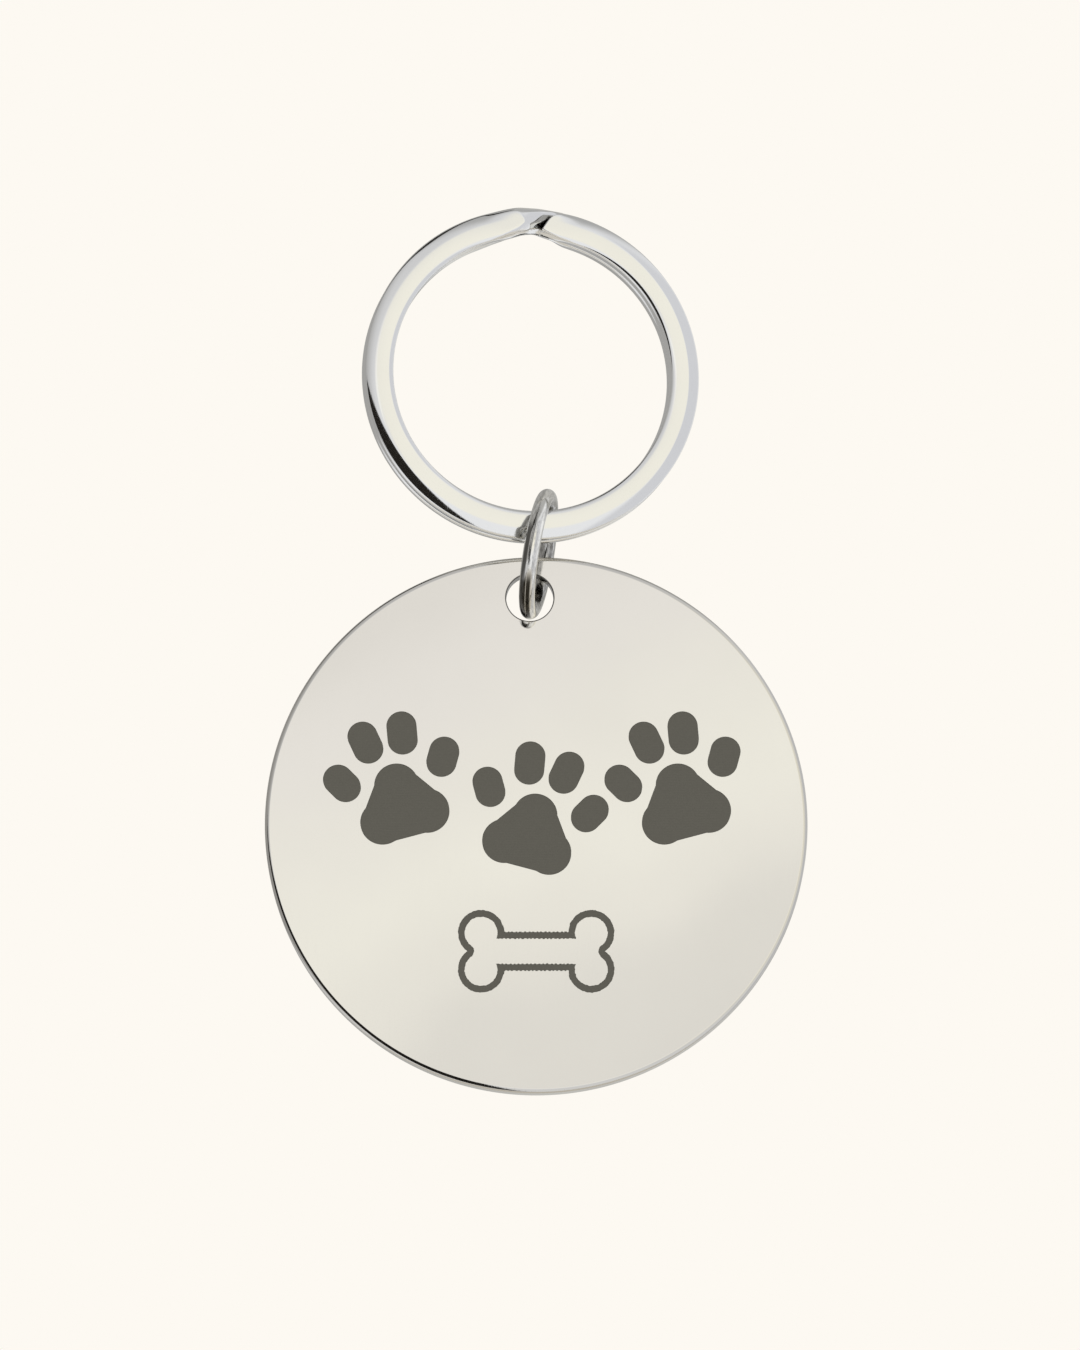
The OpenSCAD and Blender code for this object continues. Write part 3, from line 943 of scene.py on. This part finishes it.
def studio():
    """The surroundings: a plain cream backdrop. In the metal they have the soft bands, the grey
    walls and the small dark flags of a tabletop studio."""
    world = bpy.data.worlds.new("studio")
    bpy.context.scene.world = world
    world.use_nodes = True
    t = Tree(world.node_tree)
    way = t.new("ShaderNodeTexCoord", out=0)
    x, y, z = t.new("ShaderNodeSeparateXYZ", {0: way}, out=None).outputs
    degrees = 180 / math.pi

    def dot(v):
        return t.vector("DOT_PRODUCT", way, tuple(v), out=1)

    def polar(azimuth, rise):
        """Angle from a direction, and place round it from its right over its top, in degrees."""
        a, e = math.radians(azimuth), math.radians(rise)
        right = (math.cos(a), math.sin(a), 0)
        up = (-math.sin(e) * math.sin(a), math.sin(e) * math.cos(a), math.cos(e))
        angle = t.times(t.math("ARCCOSINE", dot(direction(azimuth, rise))), degrees)
        place = t.times(t.math("ARCTAN2", dot(up), dot(right)), degrees)
        return angle, t.math("FLOORED_MODULO", place, 360.0)

    # the split ring's flat face mirrors what lies here
    angle, place = polar(16, 10)

    def flag(near, far, first, last):
        """An arc-shaped dark card round the mirror direction, with a plain far edge and a near
        edge that curves to it at both ends."""
        along = t.math("SUBTRACT", place, (first + last) / 2)
        along = t.math("ABSOLUTE", t.math("DIVIDE", along, (last - first) / 2))
        width = t.math("SUBTRACT", 1.0, t.math("POWER", along, 1.7))
        width = t.times(width, (far - near) / 2)
        off = t.math("ABSOLUTE", t.math("SUBTRACT", angle, t.math("SUBTRACT", far, width)))
        return t.smooth(t.math("SUBTRACT", off, width), 1.0, -1.0)

    # the light all round
    colour = t.mix(t.smooth(angle, 9.0, 30.0), FRONT_LIGHT, COOL_LIGHT)
    upper_left = t.math("ADD", t.times(x, -0.7), t.times(z, 0.7))
    colour = t.mix(t.smooth(upper_left, -0.1, 0.5), colour, UPPER_LEFT)
    azimuth = t.times(t.math("ARCTAN2", x, t.times(y, -1.0)), degrees)
    beside = t.times(t.smooth(azimuth, 30.0, 38.0), t.smooth(azimuth, 92.0, 76.0))
    colour = t.mix(t.times(beside, t.smooth(z, 0.75, 0.55)), colour, BESIDE)
    colour = t.mix(t.smooth(z, 0.64, 0.84), colour, OVERHEAD)

    # the grey walls end a little below the level, and a light patch is in the middle of the rear
    above_foot = t.smooth(z, -0.31, -0.24)
    for start, full, grey in GREY_WALLS:
        colour = t.mix(t.times(t.smooth(azimuth, start, full), above_foot), colour, grey)
    behind, _ = polar(180, 0)
    colour = t.mix(t.smooth(behind, 8.5, 5.5), colour, BEHIND)
    colour = t.mix(t.smooth(z, -0.66, -0.85), colour, BELOW)

    # soft diagonal bands in front, seen in the tag's flat face
    mirror, _ = polar(0, 10)
    depth = t.math("MAXIMUM", t.times(y, -1.0), 0.05)
    flat_x = t.math("DIVIDE", x, depth)
    flat_z = t.math("SUBTRACT", t.math("DIVIDE", z, depth), math.tan(CAM_RISE))
    across = t.math("SUBTRACT", t.times(flat_x, BAND_X), t.times(flat_z, BAND_Z))
    bands = t.new("ShaderNodeValToRGB", {0: t.linear(across, -BAND_HALF, BAND_HALF)}, out=None)
    stops = bands.color_ramp
    stops.interpolation = "EASE"
    while len(stops.elements) < len(BANDS):
        stops.elements.new(0.5)
    for stop, (spot, value) in zip(stops.elements, BANDS):
        stop.position, stop.color = spot, (*value, 1)
    colour = t.mix(t.smooth(mirror, 9.5, 6.5), colour, bands.outputs[0])

    # dark flags to the lower left and overhead
    dark_flags = t.math("MAXIMUM", flag(*FLAGS[0]), flag(*FLAGS[1]))
    colour = t.mix(dark_flags, colour, FLAG_COLOUR)
    path = t.new("ShaderNodeLightPath", out=None)
    seen = t.mix(path.outputs["Is Glossy Ray"], CREAM, colour)
    ambient = t.new("ShaderNodeBackground", {"Color": seen, "Strength": 1.0})
    t.feed(world.node_tree.nodes["World Output"].inputs[0], ambient)


def camera():
    """The camera, with the lens that shows VIEW_HEIGHT at its distance."""
    data = bpy.data.cameras.new("camera")
    data.sensor_width = SENSOR
    data.lens = SENSOR * CAM_DISTANCE / VIEW_HEIGHT
    data.clip_start, data.clip_end = 10 * MM, 20.0
    ob = bpy.data.objects.new("camera", data)
    back = Vector((0, -math.cos(CAM_RISE), -math.sin(CAM_RISE)))
    ob.location = CAM_TARGET + back * CAM_DISTANCE
    ob.rotation_mode = "QUATERNION"
    ob.rotation_quaternion = back.to_track_quat("Z", "Y")
    bpy.context.scene.collection.objects.link(ob)
    bpy.context.scene.camera = ob


floor()
studio()
lamp("overhead_softbox", azimuth=105, rise=66, distance=0.9, size=(0.5, 0.35), power=0.5,
     colour=(1.0, 0.98, 0.95))
camera()
bpy.context.scene.view_settings.view_transform = "Standard"
